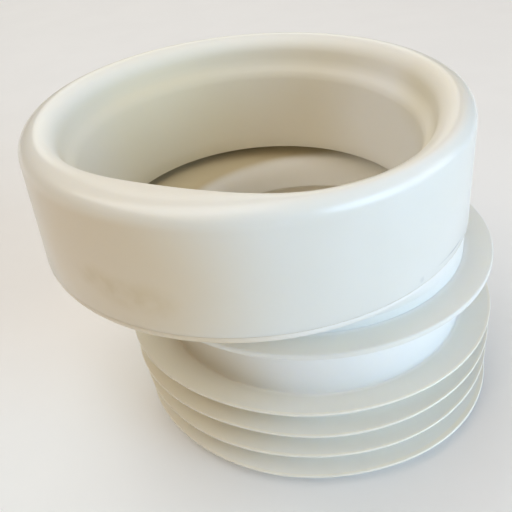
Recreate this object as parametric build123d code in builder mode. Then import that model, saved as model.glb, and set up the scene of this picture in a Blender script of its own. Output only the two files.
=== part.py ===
"""Offset toilet pan connector: a rigid drum and spigot, a soft inlet seal and a finned outlet seal.

It stands on the end of its outlet spigot. The origin is the centre of that end, +Z runs up the outlet axis,
and the inlet axis lies inlet_offset away along -X. All sizes are in millimetres.
"""
import os
from math import radians, tan

from build123d import *

# Fit between the soft seals and the rigid body
fit_clearance = 0.1

# Inlet seal, from the lip outwards: radii grow by each step, levels fall from the top of the rim
lip_radius = 48.5
lip_land = 4.0
lip_wall = 1.2
lip_gap = 1.1
sleeve_taper = 3.1
sleeve_wall = 2.2
throat_round = 4.0
throat_step = 2.7
throat_drop = 3.6
cove_round = 5.0
mouth_step = 2.0
mouth_drop = 8.4
rim_inner_run = 4.6
rim_crown = 0.3
rim_outer_round = 4.8
rim_wall = 3.2
groove_round = 2.0
skirt_wall = 2.5
skirt_depth = 35.7
skirt_edge_round = 0.5

# Rigid body, from the outlet end upwards
bore_radius = 45.0
spigot_wall = 2.4
spigot_lead = 0.8
outlet_length = 52.6
neck_stub = 2.4
neck_ledge = 0.3
reducer_drop = 9.0
reducer_sink = 0.3
shoulder_round = 3.3
floor_wall = 2.0
floor_round = 10.0
floor_sections = 12
funnel_flare = 1.0
funnel_depth = 9.0
waist_lip = 0.8
socket_wall = 2.2

# Outlet seal, on the spigot
seal_foot = 1.2
seal_wall = 1.8
stop_reach = 9.0
stop_wall = 2.05
fin_count = 4
fin_margin = 0.6
fin_reach = 10.1
fin_pitch = 8.7
fin_rise = 2.1
fin_edge = 0.9
fin_root = 1.7
root_round = 0.6

# Radii that follow
throat_radius = lip_radius + sleeve_taper
cove_radius = throat_radius + throat_step
mouth_radius = cove_radius + mouth_step
drum_radius = mouth_radius + rim_inner_run + rim_crown + rim_outer_round
socket_radius = drum_radius - skirt_wall - fit_clearance
socket_bore = socket_radius - socket_wall
shoulder_radius = drum_radius - shoulder_round
spigot_radius = bore_radius + spigot_wall
seal_bore = spigot_radius + fit_clearance
neck_radius = seal_bore + seal_wall
reducer_foot = neck_radius - reducer_sink
stop_radius = neck_radius + stop_reach
fin_radius = neck_radius + fin_reach
waist_radius = bore_radius - waist_lip
funnel_reach = bore_radius + funnel_flare

# The neck runs up the drum's side, a ledge proud of it, and that sets how far apart the two axes are
inlet_offset = drum_radius - neck_radius + neck_ledge

# Levels that follow, measured from the outlet end
neck_top = outlet_length + neck_stub
shoulder_foot = neck_top + reducer_drop
seam_level = shoulder_foot + shoulder_round
rim_top = seam_level + skirt_depth
groove_top = rim_top - rim_wall
socket_top = groove_top - fit_clearance
socket_floor = shoulder_foot + floor_wall
funnel_top = neck_top + floor_wall
waist_level = funnel_top - funnel_depth
stop_foot = outlet_length - stop_wall
cove_level = rim_top - mouth_drop
throat_level = cove_level - throat_drop

# The floor falls from the far side of the socket, turns down softly into the funnel and ends at the waist
socket_reach = socket_bore + inlet_offset
floor_corners = [(socket_reach, socket_floor), (funnel_reach, funnel_top), (waist_radius, waist_level)]

# The lip ends just above the floor, which falls from the socket's wall towards the outlet
floor_run = socket_reach - funnel_reach
floor_at_lip = socket_floor - reducer_drop * (socket_bore - lip_radius - lip_wall) / floor_run
lip_level = floor_at_lip + lip_gap

inlet_axis = Axis((-inlet_offset, 0, 0), (0, 0, 1))
inlet_section = Plane(origin=(-inlet_offset, 0, 0), x_dir=(1, 0, 0), z_dir=(0, -1, 0))
outlet_section = Plane.XZ


def level(height, centre_x=0.0):
    """Horizontal sketch plane at a height, centred on the outlet axis or moved along X to another axis."""
    return Plane(origin=(centre_x, 0, height))


os.makedirs("parts", exist_ok=True)

# Waterway that is hollowed out of the body: socket, sloping floor and funnel from above, bore from below, and
# a bead where the two cores meet
with BuildPart() as waterway:
    with BuildSketch(level(socket_floor, -inlet_offset)):
        Circle(socket_bore)
    extrude(amount=socket_top - socket_floor)

    with BuildLine(mode=Mode.PRIVATE):
        floor_line = FilletPolyline(*floor_corners, radius=floor_round)
    for section in range(floor_sections + 1):
        point = floor_line @ (section / floor_sections)
        centre_x = inlet_offset * (waist_radius - point.X) / (socket_reach - waist_radius)
        with BuildSketch(level(point.Y, centre_x)):
            Circle(point.X + centre_x)
    loft()

    with BuildSketch(outlet_section):
        with BuildLine():
            Polyline((0, 0), (bore_radius, 0), (bore_radius, waist_level - waist_lip),
                     (waist_radius, waist_level), (0, waist_level), close=True)
        make_face()
    revolve(axis=Axis.Z)

# Rigid body: shoulder and socket wall on the inlet axis, spigot on the outlet axis, and a slanted cone
# between them that grows out of the neck's wall
with BuildPart() as body:
    with BuildSketch(inlet_section):
        with BuildLine():
            Line((0, shoulder_foot), (shoulder_radius, shoulder_foot))
            RadiusArc((shoulder_radius, shoulder_foot), (drum_radius, seam_level), -shoulder_round)
            Polyline((drum_radius, seam_level), (socket_radius, seam_level), (socket_radius, socket_top),
                     (0, socket_top), (0, shoulder_foot))
        make_face()
    revolve(axis=inlet_axis)

    with BuildSketch(level(shoulder_foot, -inlet_offset)):
        Circle(shoulder_radius)
    with BuildSketch(level(neck_top)):
        Circle(reducer_foot)
    loft(ruled=True)

    with BuildSketch(level(outlet_length)):
        Circle(neck_radius)
    extrude(amount=seam_level - outlet_length)

    with BuildSketch(level(0)):
        Circle(spigot_radius)
    extrude(amount=outlet_length)
    chamfer(body.edges().group_by(Axis.Z)[0], spigot_lead)
    add(waterway.part, mode=Mode.SUBTRACT)

body.part.label = "body"
export_step(body.part, "parts/body.step")

# Inlet seal: skirt outside the socket wall, rolled rim over its top, flared mouth and a tapered sleeve inside
mouth_wall_angle = Vector(1, 0, 0).get_angle(Vector(mouth_step, mouth_drop, 0))
rim_inner_round = rim_inner_run / tan(radians(mouth_wall_angle / 2))
seal_corners = [
    ((drum_radius, seam_level), skirt_edge_round),
    ((drum_radius, rim_top), rim_outer_round),
    ((mouth_radius, rim_top), rim_inner_round),
    ((cove_radius, cove_level), cove_round),
    ((throat_radius, throat_level), throat_round),
    ((lip_radius, lip_level + lip_land), 0),
    ((lip_radius, lip_level), 0),
    ((lip_radius + lip_wall, lip_level), 0),
    ((throat_radius + sleeve_wall, throat_level - sleeve_wall), throat_round),
    ((socket_bore - groove_round, groove_top), groove_round),
    ((socket_radius + fit_clearance, groove_top), 0),
    ((socket_radius + fit_clearance, seam_level), 0),
]
with BuildPart() as inlet_seal:
    with BuildSketch(inlet_section):
        with BuildLine():
            corners = [corner for corner, _ in seal_corners]
            roundings = [rounding for _, rounding in seal_corners]
            FilletPolyline(*corners, radius=roundings, close=True)
        make_face()
    revolve(axis=inlet_axis)

inlet_seal.part.label = "inlet_seal"
export_step(inlet_seal.part, "parts/inlet_seal.step")

# Outlet seal: sleeve on the spigot with a stop flange at its top and thin fins that lean back towards it
with BuildPart() as outlet_seal:
    with BuildSketch(outlet_section) as seal_profile:
        with BuildLine():
            Polyline((seal_bore, seal_foot), (neck_radius, seal_foot), (neck_radius, stop_foot),
                     (stop_radius, stop_foot), (stop_radius, outlet_length), (seal_bore, outlet_length),
                     close=True)
        make_face()
        for index in range(fin_count):
            root = seal_foot + fin_margin + index * fin_pitch
            tip = root + fin_root + fin_rise
            with BuildLine():
                Polyline((seal_bore, root), (neck_radius, root), (fin_radius, tip - fin_edge),
                         (fin_radius, tip), (neck_radius, root + fin_root), (seal_bore, root + fin_root),
                         close=True)
            make_face()
        roots = seal_profile.vertices().group_by(Axis.X)[1].sort_by(Axis.Y)
        fillet(roots[2:], root_round)
    revolve(axis=Axis.Z)

outlet_seal.part.label = "outlet_seal"
export_step(outlet_seal.part, "parts/outlet_seal.step")
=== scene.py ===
# %% [markdown]
# # Dressing an offset toilet pan connector
# The object joins a toilet pan to a soil pipe. A rigid white moulding carries two soft seals: a cap
# with a rolled rim on the drum, and a milky sleeve with thin fins on the spigot. The solids come
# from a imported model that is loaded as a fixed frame. Blender adds what solids lack: the relaxed
# shape of the soft pieces, the finish of each plastic, and the light. Everything is in metres, in
# the frame's own coordinates.

# %% Load the frame and keep its box
import math

import bmesh
import bpy
from mathutils import Matrix, Vector


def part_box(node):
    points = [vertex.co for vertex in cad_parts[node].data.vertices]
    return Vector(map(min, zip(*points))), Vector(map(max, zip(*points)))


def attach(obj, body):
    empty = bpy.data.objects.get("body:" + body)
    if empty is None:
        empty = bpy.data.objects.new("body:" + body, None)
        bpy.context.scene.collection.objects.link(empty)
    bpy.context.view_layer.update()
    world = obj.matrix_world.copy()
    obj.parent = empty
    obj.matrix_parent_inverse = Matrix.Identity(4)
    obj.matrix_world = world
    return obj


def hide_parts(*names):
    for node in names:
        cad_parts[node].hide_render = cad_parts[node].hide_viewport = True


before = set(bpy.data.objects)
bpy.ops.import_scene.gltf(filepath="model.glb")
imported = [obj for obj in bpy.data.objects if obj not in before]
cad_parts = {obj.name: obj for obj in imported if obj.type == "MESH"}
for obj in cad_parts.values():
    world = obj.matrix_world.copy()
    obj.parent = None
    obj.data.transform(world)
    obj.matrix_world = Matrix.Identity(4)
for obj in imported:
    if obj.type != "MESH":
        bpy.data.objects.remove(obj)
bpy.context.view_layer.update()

# %% [markdown]
# ## Sizes that the pieces share
# A turned piece needs an axis and a few radii. The main ones are measured on the boxes of the
# frame's nodes, so they stay right if the solids change. The inlet axis stands beside the outlet
# axis, which is at x = 0.

# %% Axes and radii
MM = 0.001
cap_low, cap_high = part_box("inlet_seal")
fins_low, fins_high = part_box("outlet_seal")
inlet_x = (cap_low.x + cap_high.x) / 2
drum_radius = (cap_high.x - cap_low.x) / 2
rim_top = cap_high.z
fin_radius = (fins_high.x - fins_low.x) / 2
print("inlet axis at x", round(inlet_x, 4))
print("drum radius", round(drum_radius, 4), "fin radius", round(fin_radius, 4))

# %% [markdown]
# ## From a bmesh to a piece
# A bmesh is a workbench for editing a mesh in code. When the shape is done it goes into a mesh, and
# the mesh hangs on an object in the scene. Smooth shading hides the facets, and edges beyond an
# angle stay crisp.

# %% Piece from a bmesh
sharp_angle = math.radians(40)


def piece_from(shape, name):
    """Links a finished bmesh as a smooth-shaded object at the origin."""
    mesh = bpy.data.meshes.new(name)
    shape.to_mesh(mesh)
    shape.free()
    mesh.shade_smooth()
    mesh.set_sharp_from_angle(angle=sharp_angle)
    piece = bpy.data.objects.new(name, mesh)
    bpy.context.scene.collection.objects.link(piece)
    print(name, len(mesh.vertices), "vertices", len(mesh.polygons), "faces")
    return piece


# %% [markdown]
# ## A helper that turns a profile
# Both seals are round, so each is drawn as half a section and spun about its axis. A corner is
# written as its radius, its height, the run of its rounding along the two edges, and the segments
# of that rounding. A vertex bevel rounds each corner before the spin, which gives cleaner rings
# than bevelling edges afterwards.

# %% Turned pieces
weld_distance = 1e-7
turn_steps = 224


def turned(name, corners, axis_x):
    """A closed profile of corners, rounded and spun about the vertical axis at axis_x."""
    shape = bmesh.new()
    points = [shape.verts.new((axis_x + radius, 0, level)) for radius, level, _, _ in corners]
    for here, after in zip(points, points[1:] + points[:1]):
        shape.edges.new((here, after))
    for point, (_, _, run, segments) in zip(points, corners):
        if run:
            bmesh.ops.bevel(shape, geom=[point], offset=run, offset_type="OFFSET", affect="VERTICES",
                            segments=segments, profile=0.5, material=-1)
    bmesh.ops.spin(shape, geom=shape.verts[:] + shape.edges[:], cent=(axis_x, 0, 0), axis=(0, 0, 1),
                   angle=math.tau, steps=turn_steps, use_merge=True)
    bmesh.ops.remove_doubles(shape, verts=shape.verts, dist=weld_distance)
    bmesh.ops.recalc_face_normals(shape, faces=shape.faces)
    return piece_from(shape, name)


# %% [markdown]
# ## The inlet cap
# The soft cap is pulled over the drum's socket wall. From outside it is a plain skirt with a rolled
# rim, and its foot meets the rigid body at a fine seam. Inside, the mouth flares in a soft S to a
# long tapered sleeve that ends in a thin lip. One closed profile holds all of it.

# %% Sizes of the cap
mouth_radius = 56.3 * MM
cove_radius = 54.3 * MM
throat_radius = 51.6 * MM
lip_radius = 48.5 * MM
groove_radius = 59.2 * MM
skirt_inside = drum_radius - 2.5 * MM
lip_land = 4.0 * MM
lip_wall = 1.2 * MM
sleeve_wall = 2.2 * MM
seam_level = 67.3 * MM
lip_level = cap_low.z
cove_level = rim_top - 8.4 * MM
throat_level = cove_level - 3.6 * MM
groove_level = rim_top - 3.2 * MM
print("cap from", round(lip_level, 4), "to", round(rim_top, 4), "with its seam at", seam_level)

# %% [markdown]
# ## Turn the cap
# The corners run from the foot of the skirt up and over the rim, down the sleeve to the lip, and
# back up behind the sleeve to the inside of the skirt. The rim has the largest roundings and the
# most segments, because its highlights show every facet.

# %% Inlet cap
foot_run = 0.1 * MM
rim_outer_run = 4.8 * MM
rim_inner_run = 4.6 * MM
cove_run = 1.6 * MM
land_run = 1.0 * MM
lip_run = 0.3 * MM
back_run = 1.0 * MM
groove_run = 1.2 * MM
cap_corners = [
    (drum_radius, seam_level, foot_run, 3),
    (drum_radius, rim_top, rim_outer_run, 14),
    (mouth_radius, rim_top, rim_inner_run, 14),
    (cove_radius, cove_level, cove_run, 6),
    (throat_radius, throat_level, cove_run, 6),
    (lip_radius, lip_level + lip_land, land_run, 3),
    (lip_radius, lip_level, lip_run, 3),
    (lip_radius + lip_wall, lip_level, lip_run, 3),
    (throat_radius + sleeve_wall, throat_level - sleeve_wall, back_run, 4),
    (groove_radius, groove_level, groove_run, 4),
    (skirt_inside, groove_level, 0, 1),
    (skirt_inside, seam_level, 0, 1),
]
inlet_cap = turned("inlet_cap", cap_corners, inlet_x)

# %% [markdown]
# ## Soft bumps
# A soft moulding is never as round as its mould, so both seals get eased a little. Two small
# functions do it: one runs smoothly from 0 to 1, and the other turns that into a bump round an
# axis. A bearing of 0 points along +X and -90 points to the front.

# %% Fade and swell
def fade(value, start, end):
    """Runs smoothly from 0 at start to 1 at end, whichever of the two is larger."""
    share = min(max((value - start) / (end - start), 0.0), 1.0)
    return share * share * (3 - 2 * share)


def swell(bearing, middle, width):
    """A soft bump of height 1 at the middle bearing that ends a width to each side; all in degrees."""
    away = abs((bearing - middle + 180) % 360 - 180)
    return fade(away, width, 0)


# %% [markdown]
# ## How the soft cap has eased
# In the photograph the rim bulges inwards on its left front and sits a little wider and lower on
# its right front, and the lip hangs a few millimetres towards the spigot's side. The first three
# are bumps round the rim, and the last is a lean that grows down the sleeve. Sideways moves fade
# out towards the skirt's outside and the sag fades out below the rim, so the skirt keeps its shape.

# %% Ease the cap
rim_bulge, bulge_middle, bulge_width = 4.7 * MM, -116, 44
rim_spread, spread_middle, spread_width = 1.9 * MM, -58, 47
rim_sag, sag_middle, sag_width = 1.0 * MM, -48, 54
lip_lean = 3.2 * MM
held_radius = drum_radius - 1.2 * MM
free_radius = drum_radius - 7.0 * MM
bulge_foot = throat_level - 5 * MM
bulge_top = cove_level + 4 * MM
sag_foot = cove_level - 8 * MM
for vertex in inlet_cap.data.vertices:
    across = Vector((vertex.co.x - inlet_x, vertex.co.y))
    bearing = math.degrees(math.atan2(across.y, across.x))
    loose = fade(across.length, held_radius, free_radius)
    near_top = fade(vertex.co.z, bulge_foot, bulge_top)
    inward = (rim_bulge * swell(bearing, bulge_middle, bulge_width)
              - rim_spread * swell(bearing, spread_middle, spread_width))
    across *= 1 - inward * loose * near_top / across.length
    lean = lip_lean * loose * fade(vertex.co.z, cove_level, lip_level)
    drop = rim_sag * swell(bearing, sag_middle, sag_width) * fade(vertex.co.z, sag_foot, rim_top)
    vertex.co = (inlet_x + across.x + lean, across.y, vertex.co.z - drop)
print("cap eased: bulge", rim_bulge, "spread", rim_spread, "sag", rim_sag, "lean", lip_lean)

# %% [markdown]
# ## The finned sleeve
# The outlet seal is a thin milky tube with a stop flange at its top and four fins that lean back
# towards it. Each fin is thin at its edge and rounded into the tube at its root, as soft mouldings
# are. A loop writes the corners of the fins, so their number and pitch are easy to change.

# %% Finned sleeve
spigot_clear = 47.5 * MM
tube_radius = 49.3 * MM
stop_radius = 58.3 * MM
seal_foot = fins_low.z
stop_top = fins_high.z
stop_foot = stop_top - 2.05 * MM
fin_count = 4
fin_pitch = 8.7 * MM
first_root = 1.8 * MM
fin_root = 1.7 * MM
fin_rise = 2.1 * MM
fin_edge = 0.9 * MM
end_run = 0.2 * MM
edge_run = 0.3 * MM
stop_run = 0.5 * MM
root_run = 0.6 * MM
sleeve_corners = [(spigot_clear, seal_foot, end_run, 2), (tube_radius, seal_foot, end_run, 2)]
for index in range(fin_count):
    root = first_root + index * fin_pitch
    tip = root + fin_root + fin_rise
    lower_run = root_run if index else end_run
    sleeve_corners += [
        (tube_radius, root, lower_run, 3),
        (fin_radius, tip - fin_edge, edge_run, 3),
        (fin_radius, tip, edge_run, 3),
        (tube_radius, root + fin_root, root_run, 3),
    ]
sleeve_corners += [
    (tube_radius, stop_foot, root_run, 3),
    (stop_radius, stop_foot, stop_run, 3),
    (stop_radius, stop_top, stop_run, 3),
    (spigot_clear, stop_top, 0, 1),
]
finned_sleeve = turned("finned_sleeve", sleeve_corners, 0.0)

# %% [markdown]
# ## How the fins have eased
# The thin fins have been handled, so their edges rise and fall slightly, the upper ones stand out
# further on the left, and the lowest is pressed out at its right front. All of this is nothing at
# the tube and grows towards the edge, which keeps every root in its place. The thick stop flange
# stays as it was moulded.

# %% Ease the fins
left_spread, left_middle, left_width = 2.5 * MM, -168, 60
foot_spread, foot_middle, foot_width = 1.3 * MM, -50, 48
fin_wave, wave_middle, wave_width = 0.28 * MM, -150, 100
calm_share = 0.6
waves_round = 5
turn_per_metre = 260
fin_top = first_root + (fin_count - 1) * fin_pitch + fin_root + fin_rise
for vertex in finned_sleeve.data.vertices:
    if vertex.co.z > fin_top + fin_root:
        continue
    across = Vector((vertex.co.x, vertex.co.y))
    bearing = math.degrees(math.atan2(across.y, across.x))
    loose = fade(across.length, tube_radius, fin_radius)
    upper = fade(vertex.co.z, first_root, fin_top - fin_root)
    lowest = fade(vertex.co.z, first_root + fin_pitch, first_root + fin_root)
    outward = (left_spread * swell(bearing, left_middle, left_width) * upper
               + foot_spread * swell(bearing, foot_middle, foot_width) * lowest)
    across *= 1 + loose * outward / across.length
    lively = calm_share + (1 - calm_share) * swell(bearing, wave_middle, wave_width)
    wave = math.sin(math.radians(waves_round * bearing) + turn_per_metre * vertex.co.z)
    vertex.co = (across.x, across.y, vertex.co.z + loose * fin_wave * lively * wave)
print("fins eased: wave", fin_wave, "left", left_spread, "foot", foot_spread)

# %% [markdown]
# ## Patterns for the finishes
# A finish is a small tree of nodes. Object coordinates keep every pattern fixed to its piece,
# whatever the camera does. Clouds of noise give uneven colour and gloss, and a ramp turns any
# number into a share from one value to another.

# %% Clouds and ramps
def place(tree):
    """The piece's own coordinates, shared by every pattern of a material."""
    spot = tree.nodes.get("place") or tree.nodes.new("ShaderNodeTexCoord")
    spot.name = "place"
    return spot.outputs["Object"]


def cloud(tree, scale, detail=3.0):
    """Noise from 0 to 1; scale is in cycles per metre."""
    noise = tree.nodes.new("ShaderNodeTexNoise")
    noise.inputs["Scale"].default_value = scale
    noise.inputs["Detail"].default_value = detail
    tree.links.new(place(tree), noise.inputs["Vector"])
    return noise.outputs["Fac"]


def spread(tree, value, start, end, low, high):
    """Runs smoothly from low at start to high at end."""
    ramp = tree.nodes.new("ShaderNodeMapRange")
    ramp.interpolation_type = "SMOOTHSTEP"
    for name, number in (("From Min", start), ("From Max", end), ("To Min", low), ("To Max", high)):
        ramp.inputs[name].default_value = number
    tree.links.new(value, ramp.inputs["Value"])
    return ramp.outputs["Result"]


# %% [markdown]
# ## Where on the piece
# A mark needs its place. The distance to a point gives a round spot, or a long one when a direction
# is stretched. A stretch of 0 ignores a direction, so that leaving out the height gives the
# distance to an upright axis. The height and the way that the surface faces tell the floor, the rim
# and the funnel apart.

# %% Distances, heights and facing
def away_from(tree, point, stretch=(1, 1, 1)):
    """Distance to a point in metres, with each direction stretched."""
    shifted = tree.nodes.new("ShaderNodeVectorMath")
    shifted.operation = "SUBTRACT"
    shifted.inputs[1].default_value = point
    tree.links.new(place(tree), shifted.inputs[0])
    scaled = tree.nodes.new("ShaderNodeVectorMath")
    scaled.operation = "MULTIPLY"
    scaled.inputs[1].default_value = stretch
    tree.links.new(shifted.outputs["Vector"], scaled.inputs[0])
    length = tree.nodes.new("ShaderNodeVectorMath")
    length.operation = "LENGTH"
    tree.links.new(scaled.outputs["Vector"], length.inputs[0])
    return length.outputs["Value"]


def from_axis(tree, axis_x):
    """Distance to the vertical axis at axis_x in metres."""
    return away_from(tree, (axis_x, 0, 0), (1, 1, 0))


def height(tree):
    """Height above the outlet end in metres."""
    split = tree.nodes.new("ShaderNodeSeparateXYZ")
    tree.links.new(place(tree), split.inputs["Vector"])
    return split.outputs["Z"]


def facing_up(tree):
    """How far the surface faces upwards, from -1 to 1, in the piece's own coordinates."""
    place(tree)
    split = tree.nodes.new("ShaderNodeSeparateXYZ")
    tree.links.new(tree.nodes["place"].outputs["Normal"], split.inputs["Vector"])
    return split.outputs["Z"]


def both(tree, first, second):
    """Product of two shares."""
    product = tree.nodes.new("ShaderNodeMath")
    product.operation = "MULTIPLY"
    tree.links.new(first, product.inputs[0])
    tree.links.new(second, product.inputs[1])
    return product.outputs["Value"]


# %% [markdown]
# ## Moulded plastic
# Every surface here starts from one recipe on the Principled shader. Noise makes the colour and the
# gloss slightly uneven, and a very fine bump gives the skin of a moulding. Light also enters a
# little way, red the deepest, so that edges and thin walls glow instead of looking like plaster.

# %% Plastic
colour_scale = 24.0
gloss_scale = 40.0
gloss_change = 0.03
skin_scale = 380.0
skin_strength = 0.04
skin_depth = 0.1 * MM
depth_by_colour = (1.0, 0.9, 0.7)
cloud_low, cloud_high = 0.35, 0.65
wide_low, wide_high = 0.2, 0.8


def plastic(name, pale, shade, roughness, translucence, depth):
    """Moulded plastic between two colours; translucence is the share of light that goes in."""
    material = bpy.data.materials.new(name)
    material.use_nodes = True
    tree = material.node_tree
    shader = tree.nodes["Principled BSDF"]
    mix = tree.nodes.new("ShaderNodeMix")
    mix.data_type = "RGBA"
    mix.inputs["A"].default_value = (*pale, 1)
    mix.inputs["B"].default_value = (*shade, 1)
    uneven = spread(tree, cloud(tree, colour_scale), cloud_low, cloud_high, 0.0, 1.0)
    tree.links.new(uneven, mix.inputs["Factor"])
    tree.links.new(mix.outputs["Result"], shader.inputs["Base Color"])
    least, most = roughness - gloss_change, roughness + gloss_change
    gloss = spread(tree, cloud(tree, gloss_scale), wide_low, wide_high, least, most)
    tree.links.new(gloss, shader.inputs["Roughness"])
    bump = tree.nodes.new("ShaderNodeBump")
    bump.inputs["Strength"].default_value = skin_strength
    bump.inputs["Distance"].default_value = skin_depth
    tree.links.new(cloud(tree, skin_scale), bump.inputs["Height"])
    tree.links.new(bump.outputs["Normal"], shader.inputs["Normal"])
    shader.inputs["Subsurface Weight"].default_value = translucence
    shader.inputs["Subsurface Radius"].default_value = depth_by_colour
    shader.inputs["Subsurface Scale"].default_value = depth
    return material


# %% [markdown]
# ## Layers on a finish
# A tint or a duller skin is a layer. It takes what feeds a socket of the shader, mixes something
# else over it as far as a share says, and feeds the result back. Layers can be stacked as often as
# needed.

# %% Tint and dull
def tint(material, share, colour):
    """Lays a colour over a finish as far as the share says."""
    tree = material.node_tree
    shader = tree.nodes["Principled BSDF"]
    under = shader.inputs["Base Color"].links[0].from_socket
    mix = tree.nodes.new("ShaderNodeMix")
    mix.data_type = "RGBA"
    mix.inputs["B"].default_value = (*colour, 1)
    tree.links.new(share, mix.inputs["Factor"])
    tree.links.new(under, mix.inputs["A"])
    tree.links.new(mix.outputs["Result"], shader.inputs["Base Color"])


def dull(material, share, roughness):
    """Makes the skin rougher as far as the share says."""
    tree = material.node_tree
    shader = tree.nodes["Principled BSDF"]
    under = shader.inputs["Roughness"].links[0].from_socket
    mix = tree.nodes.new("ShaderNodeMix")
    mix.inputs["B"].default_value = roughness
    tree.links.new(share, mix.inputs["Factor"])
    tree.links.new(under, mix.inputs["A"])
    tree.links.new(mix.outputs["Result"], shader.inputs["Roughness"])


# %% [markdown]
# ## Three plastics
# All three are creamy whites with a satin skin. Light enters the rigid body least and the milky
# sleeve most. The cream matters most inside the mouth: light that bounces there several times takes
# the plastic's colour each time and turns warm.

# %% Finishes of the three pieces
white = (0.95, 0.94, 0.90)
deep_white = (0.93, 0.92, 0.875)
cream = (0.85, 0.845, 0.795)
deep_cream = (0.835, 0.825, 0.765)
milky = (0.88, 0.875, 0.825)
deep_milky = (0.86, 0.85, 0.795)
rigid_white = plastic("rigid_white", white, deep_white,
                      roughness=0.32, translucence=0.10, depth=2.0 * MM)
soft_white = plastic("soft_white", cream, deep_cream,
                     roughness=0.32, translucence=0.20, depth=3.0 * MM)
soft_milky = plastic("soft_milky", milky, deep_milky,
                     roughness=0.40, translucence=0.30, depth=3.0 * MM)
print("finishes", [finish.name for finish in (rigid_white, soft_white, soft_milky)])

# %% [markdown]
# ## Painted warm shade and a dull skin inside the cap
# The mouth is painted creamier, a painted warm shade that stands in for the light bouncing inside it,
# and it is duller than the skirt, which keeps a thin glossy coat. The distance from the inlet axis
# tells the inside from the outside, and the change lies on the rim's inner half.

# %% Inside and outside of the cap
mouth_painted_warm_shade = (0.87, 0.82, 0.695)
inside_roughness = 0.55
coat_weight = 0.4
coat_roughness = 0.2
crown_radius = drum_radius - 6 * MM
coat_start = mouth_radius + 1.5 * MM
cap_tree = soft_white.node_tree
from_inlet = from_axis(cap_tree, inlet_x)
inside = spread(cap_tree, from_inlet, mouth_radius, crown_radius, 1.0, 0.0)
# Painted warm shade: the inside of the mouth is tinted creamier in place of bounced light.
tint(soft_white, inside, mouth_painted_warm_shade)
dull(soft_white, inside, inside_roughness)
coat = spread(cap_tree, from_inlet, coat_start, crown_radius, 0.0, coat_weight)
cap_shader = cap_tree.nodes["Principled BSDF"]
cap_tree.links.new(coat, cap_shader.inputs["Coat Weight"])
cap_shader.inputs["Coat Roughness"].default_value = coat_roughness
print("inside and outside told apart on", soft_white.name)

# %% [markdown]
# ## Painted shade on the floor and in the bore, painted light in the funnel
# The sloping floor is painted a dark cream, a painted shadow of the far lip. The bore below the waist
# is painted darker too, a painted shade under the waist. The thin wall of the funnel above the waist
# is painted pale, a painted light that stands in for light coming through it. The floor is told by
# facing upwards, and the funnel by its distance from the outlet axis and by lying above the waist, the
# narrow ring where the bore begins.

# %% Inside of the body
floor_painted_shade = (0.66, 0.57, 0.38)
bore_painted_shade = (0.74, 0.69, 0.58)
painted_light_white = (0.985, 0.98, 0.94)
wall_facing, floor_facing = 0.3, 0.8
waist_level = 48.0 * MM
waist_foot, waist_top = waist_level - 1.5 * MM, waist_level + 0.5 * MM
funnel_radius = 46.0 * MM
funnel_edge = funnel_radius + 3.5 * MM
body_tree = rigid_white.node_tree
on_floor = spread(body_tree, facing_up(body_tree), wall_facing, floor_facing, 0.0, 1.0)
in_funnel = spread(body_tree, from_axis(body_tree, 0), funnel_radius, funnel_edge, 1.0, 0.0)
above_waist = spread(body_tree, height(body_tree), waist_foot, waist_top, 0.0, 1.0)
# Painted shadow: the floor is darkened where the far lip shades it.
tint(rigid_white, on_floor, floor_painted_shade)
# Painted shade: the bore near the outlet axis is darkened, and the funnel part is lightened again
# below.
tint(rigid_white, in_funnel, bore_painted_shade)
# Painted light: the funnel above the waist is lightened in place of light shining through its thin
# wall.
tint(rigid_white, both(body_tree, in_funnel, above_waist), painted_light_white)
print("floor, bore and funnel tinted on", rigid_white.name)

# %% [markdown]
# ## Painted light on the tube, the fin edges and the lowest fin
# On the tube the milky sleeve lies on the white spigot, and the tube is painted whiter, a painted
# light for the window light on it, while the fins and the flange stand free and keep the greyer milky
# colour.
# Their thin edges get a painted highlight, and the lowest fin is painted paler, a painted light for
# the light from the floor. Ramps over the distance from the outlet axis and over the height lay the
# painted whites on each.

# %% Painted light on tube, edges and lowest fin
painted_light_cream = (0.94, 0.925, 0.87)
edge_painted_highlight = (0.96, 0.915, 0.80)
tube_skin, tube_end = tube_radius + 0.3 * MM, tube_radius + 2.0 * MM
lowest_foot, lowest_end, lowest_share = 4 * MM, 12 * MM, 0.8
edge_start, edge_full, edge_share = fin_radius - 1.2 * MM, fin_radius - 0.3 * MM, 0.9
sleeve_tree = soft_milky.node_tree
from_outlet = from_axis(sleeve_tree, 0)
on_tube = spread(sleeve_tree, from_outlet, tube_skin, tube_end, 1.0, 0.0)
on_lowest = spread(sleeve_tree, height(sleeve_tree), lowest_foot, lowest_end, lowest_share, 0.0)
on_edge = spread(sleeve_tree, from_outlet, edge_start, edge_full, 0.0, edge_share)
# Painted light: the tube is whitened in place of the window light on it.
tint(soft_milky, on_tube, painted_light_white)
# Painted light: the lowest fin is paled in place of the light that the floor throws up.
tint(soft_milky, on_lowest, painted_light_cream)
# Painted highlight: the fin edges are lightened where they catch the light.
tint(soft_milky, on_edge, edge_painted_highlight)
print("tube, lowest fin and edges tinted on", soft_milky.name)

# %% [markdown]
# ## Painted warm shade and painted light in patches
# Wide patches of painted warm shade and painted light stand in for how the light falls. The left
# front, on the drum, on the body at the seam and on the fins below, gets a painted warm shade, and so
# does the right of the rim; the mouth gets a painted warm shade on its left and a painted light on its
# right. Each is a wide soft patch, a distance to a point that fades out slowly, so that no edge shows.
# Over them all, the crown of the rim gets a painted light.

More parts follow.
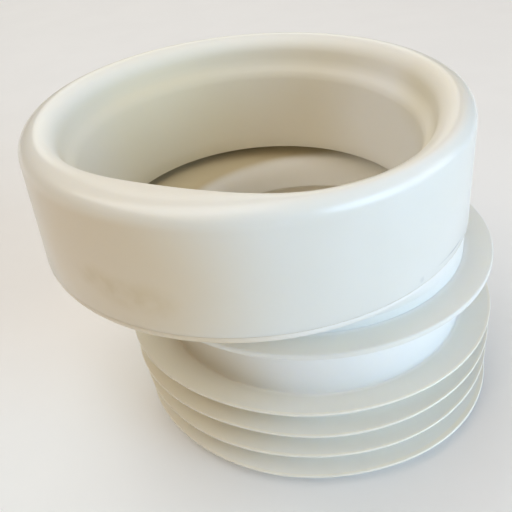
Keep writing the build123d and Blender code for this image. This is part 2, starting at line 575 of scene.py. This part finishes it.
# %% Painted warm shade and light patches
left_painted_warm_shade = (0.775, 0.66, 0.485)
mouth_left_painted_shade = (0.87, 0.79, 0.60)
mouth_right_painted_light = (0.96, 0.955, 0.925)
rim_right_painted_shade = (0.85, 0.80, 0.66)
fins_left_painted_shade = (0.83, 0.76, 0.63)
patch_core = 0.3
crown_foot, crown_full, crown_share = rim_top - 6 * MM, rim_top - 1 * MM, 0.7
painted_patches = [  # finish, point and reach in millimetres, colour
    (soft_white, (-56, -52, 82), 50, left_painted_warm_shade),
    (soft_white, (-46, 42, 75), 45, mouth_left_painted_shade),
    (soft_white, (31, 18, 82), 40, mouth_right_painted_light),
    (soft_white, (44, 5, 103), 26, rim_right_painted_shade),
    (rigid_white, (-52, -56, 66), 52, left_painted_warm_shade),
    (soft_milky, (-43, -30, 25), 42, fins_left_painted_shade),
]
# Painted warm shade and painted light, each laid on as a soft patch round a point.
for finish, point, reach, colour in painted_patches:
    tree = finish.node_tree
    away = away_from(tree, [number * MM for number in point])
    share = spread(tree, away, patch_core * reach * MM, reach * MM, 1.0, 0.0)
    tint(finish, share, colour)
# Painted light: the top of the rim is paled where it faces the light from above.
on_crown = spread(cap_tree, height(cap_tree), crown_foot, crown_full, 0.0, crown_share)
tint(soft_white, on_crown, painted_light_cream)
print(len(painted_patches), "patches, and a pale crown on", soft_white.name)

# %% [markdown]
# ## Marks of handling
# The connector has been handled: faint brown smudges lie low on the drum's left front, the seam has
# caught a little dirt on its right, and a pale speck sits on a fin's edge. Each is a distance to a
# point, some of them stretched along the wall, and noise makes it patchy.

# %% Smudges and specks
brown = (0.64, 0.50, 0.27)
grey = (0.35, 0.37, 0.40)
bright = (0.97, 0.97, 0.95)
round_spot = (1, 1, 1)
long_spot = (1, 1, 1.7)
thin_line = (1, 1, 22)
mark_core = 0.2
mark_scale = 180.0
mark_least = 0.35
marks = [  # finish, point and reach in millimetres, stretch, strength, colour
    (soft_white, (-58.5, -51.3, 78.8), 10, long_spot, 0.42, brown),
    (soft_white, (-52.8, -55.4, 77.2), 11, long_spot, 0.30, brown),
    (soft_white, (-46.0, -59.3, 76.6), 12, long_spot, 0.34, brown),
    (soft_white, (24.0, -51.7, 69.1), 1.3, round_spot, 0.30, grey),
    (soft_white, (35.5, -40.4, 69.4), 11, thin_line, 0.60, grey),
    (soft_milky, (-4.7, -59.2, 13.5), 0.9, round_spot, 1.0, bright),
]
for finish, point, reach, stretch, strength, colour in marks:
    tree = finish.node_tree
    away = away_from(tree, [number * MM for number in point], stretch)
    spot = spread(tree, away, mark_core * reach * MM, reach * MM, strength, 0.0)
    patchy = spread(tree, cloud(tree, mark_scale), cloud_low, cloud_high, mark_least, 1.0)
    tint(finish, both(tree, spot, patchy), colour)
print(len(marks), "marks on", soft_white.name, "and", soft_milky.name)

# %% [markdown]
# ## Seat the pieces
# The two turned pieces ride on the connector's one body and stand for the plain solids of the same
# seals. The rigid moulding needs no new mesh: its solid already has the true form, so it only gets
# its finish.

# %% Seat and finish the pieces
for piece, node, slot, finish in (
    (inlet_cap, "inlet_seal", "soft_white", soft_white),
    (finned_sleeve, "outlet_seal", "soft_milky", soft_milky),
):
    piece.data.materials.append(finish)
    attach(piece, "root")
    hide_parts(node)
    print(piece.name, "stands for", node, "in", slot)
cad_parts["body"].material_slots[0].material = rigid_white

# %% [markdown]
# ## Floor
# A plain pale floor carries the object. It is far larger than the view, so that no edge shows near
# the object, and a trace of noise in its colour and gloss keeps it from looking like a flat card.

# %% Floor
floor_half = 15.0
floor_white = (0.95, 0.955, 0.97)
deep_floor_white = (0.935, 0.94, 0.955)
floor_shape = bmesh.new()
bmesh.ops.create_grid(floor_shape, x_segments=1, y_segments=1, size=floor_half)
floor = piece_from(floor_shape, "floor")
pale_floor = plastic("pale_floor", floor_white, deep_floor_white,
                     roughness=0.8, translucence=0.0, depth=1.0 * MM)
floor.data.materials.append(pale_floor)

# %% [markdown]
# ## Soft studio light
# The photograph has cool window light low on the right, pale light from above and behind, and a
# little warm light from the left front and from behind on the right. Square area lights round the
# object give each of these, and a faint even world fills the rest. A bearing and a height angle
# place each light, which is easier to tune by eye than coordinates.

# %% Lights
middle = Vector((-10 * MM, 0, 50 * MM))
lamp_reach = 2.0


def soft_light(name, bearing, rise, power, size, colour):
    """A square area light that faces the object from a bearing and a height angle, both in degrees."""
    lamp = bpy.data.lights.new(name, "AREA")
    lamp.size = size
    lamp.color = colour
    lamp.energy = power
    stand = bpy.data.objects.new(name, lamp)
    swing = Matrix.Rotation(math.radians(bearing), 3, "Z")
    tilt = Matrix.Rotation(-math.radians(rise), 3, "Y")
    stand.location = middle + lamp_reach * (swing @ tilt @ Vector((1, 0, 0)))
    stand.rotation_euler = (middle - stand.location).to_track_quat("-Z", "Y").to_euler()
    bpy.context.scene.collection.objects.link(stand)


lamps = [  # name, bearing, height angle, power in watts, size in metres, colour
    ("window", -40, 12, 27.0, 1.2, (0.56, 0.78, 1.0)),
    ("side_wall", -5, 8, 13.0, 1.2, (0.83, 0.92, 1.0)),
    ("room", -125, 45, 6.0, 1.2, (1.0, 0.74, 0.43)),
    ("sky", 130, 60, 5.0, 2.0, (1.0, 0.96, 0.82)),
    ("ceiling", 180, 70, 21.5, 2.0, (1.0, 0.99, 0.96)),
    ("back_wall", 90, 25, 5.2, 1.2, (1.0, 1.0, 0.90)),
    ("behind", 45, 45, 2.8, 1.2, (1.0, 0.50, 0.20)),
]
for lamp_values in lamps:
    soft_light(*lamp_values)
print("lights", [light.name for light in bpy.data.lights])

# %% [markdown]
# ## World
# The world lights every side equally. It is kept faint, because too much of it would wash out the
# shading of the lamps, and without it the far background would be black.

# %% World
fill_colour = (1.0, 0.985, 0.96)
fill_strength = 0.08
world = bpy.data.worlds.new("studio")
world.use_nodes = True
background = world.node_tree.nodes["Background"]
background.inputs["Color"].default_value = (*fill_colour, 1)
background.inputs["Strength"].default_value = fill_strength
bpy.context.scene.world = world
print("world", world.name, fill_strength)

# %% [markdown]
# ## Camera
# The place, pitch, roll and focal length come from fitting the rims and fins of the solids to the
# photograph's ellipses. The lens follows from the focal length in pixels of the photograph's 512
# pixel frame. The Standard view transform keeps the whites as bright as the lights make them.

# %% Camera
camera_place = (-18.1 * MM, -200.17 * MM, 180.47 * MM)
camera_pitch = math.radians(33.67)
camera_roll = math.radians(5.67)
focal_pixels = 716.48
frame_pixels = 512
lens = bpy.data.cameras.new("camera")
lens.sensor_width = 36.0
lens.lens = lens.sensor_width * focal_pixels / frame_pixels
lens.clip_start = 10 * MM
camera = bpy.data.objects.new("camera", lens)
turn = Matrix.Rotation(math.pi / 2 - camera_pitch, 4, "X") @ Matrix.Rotation(-camera_roll, 4, "Z")
camera.matrix_world = Matrix.Translation(camera_place) @ turn
bpy.context.scene.collection.objects.link(camera)
bpy.context.scene.camera = camera
bpy.context.scene.view_settings.view_transform = "Standard"
print("camera with a lens of", round(lens.lens, 2), "mm")
